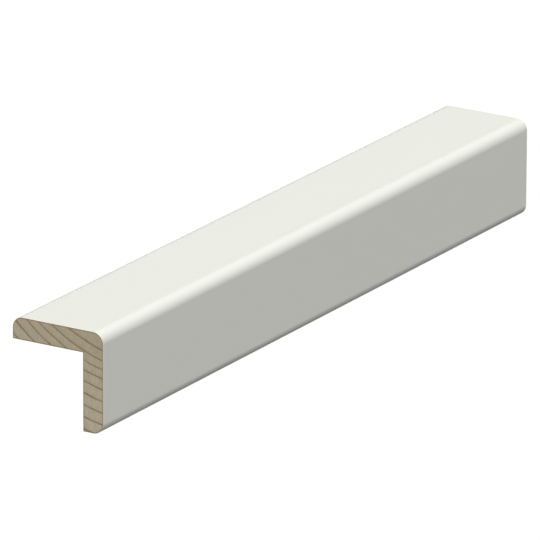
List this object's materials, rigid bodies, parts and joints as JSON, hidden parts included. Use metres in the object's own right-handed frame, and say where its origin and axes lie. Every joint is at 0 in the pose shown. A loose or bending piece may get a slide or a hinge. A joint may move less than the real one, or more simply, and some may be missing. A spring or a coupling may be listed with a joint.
{
  "type": "outside corner moulding",
  "caption": "Straight L-shaped pine trim that caps the outside corner of a wall: rounded nose and edges, white painted show faces, bare wood back and square-cut ends.",
  "frame": {"origin": "middle of the back face of the top leg, the face that seats on the wall", "axes": "+Y along the length, +Z out of the wall through the top leg, +X out of the wall through the front leg"},
  "size_m": [0.027, 0.212, 0.027],
  "materials": {
    "painted_pine": "satin white paint on the two show faces and the rounded edges, bare planed pine on the back faces and bare end grain with growth rings at both ends"
  },
  "bodies": {
    "root": {"corner_moulding": "painted_pine"}
  },
  "joints": []
}
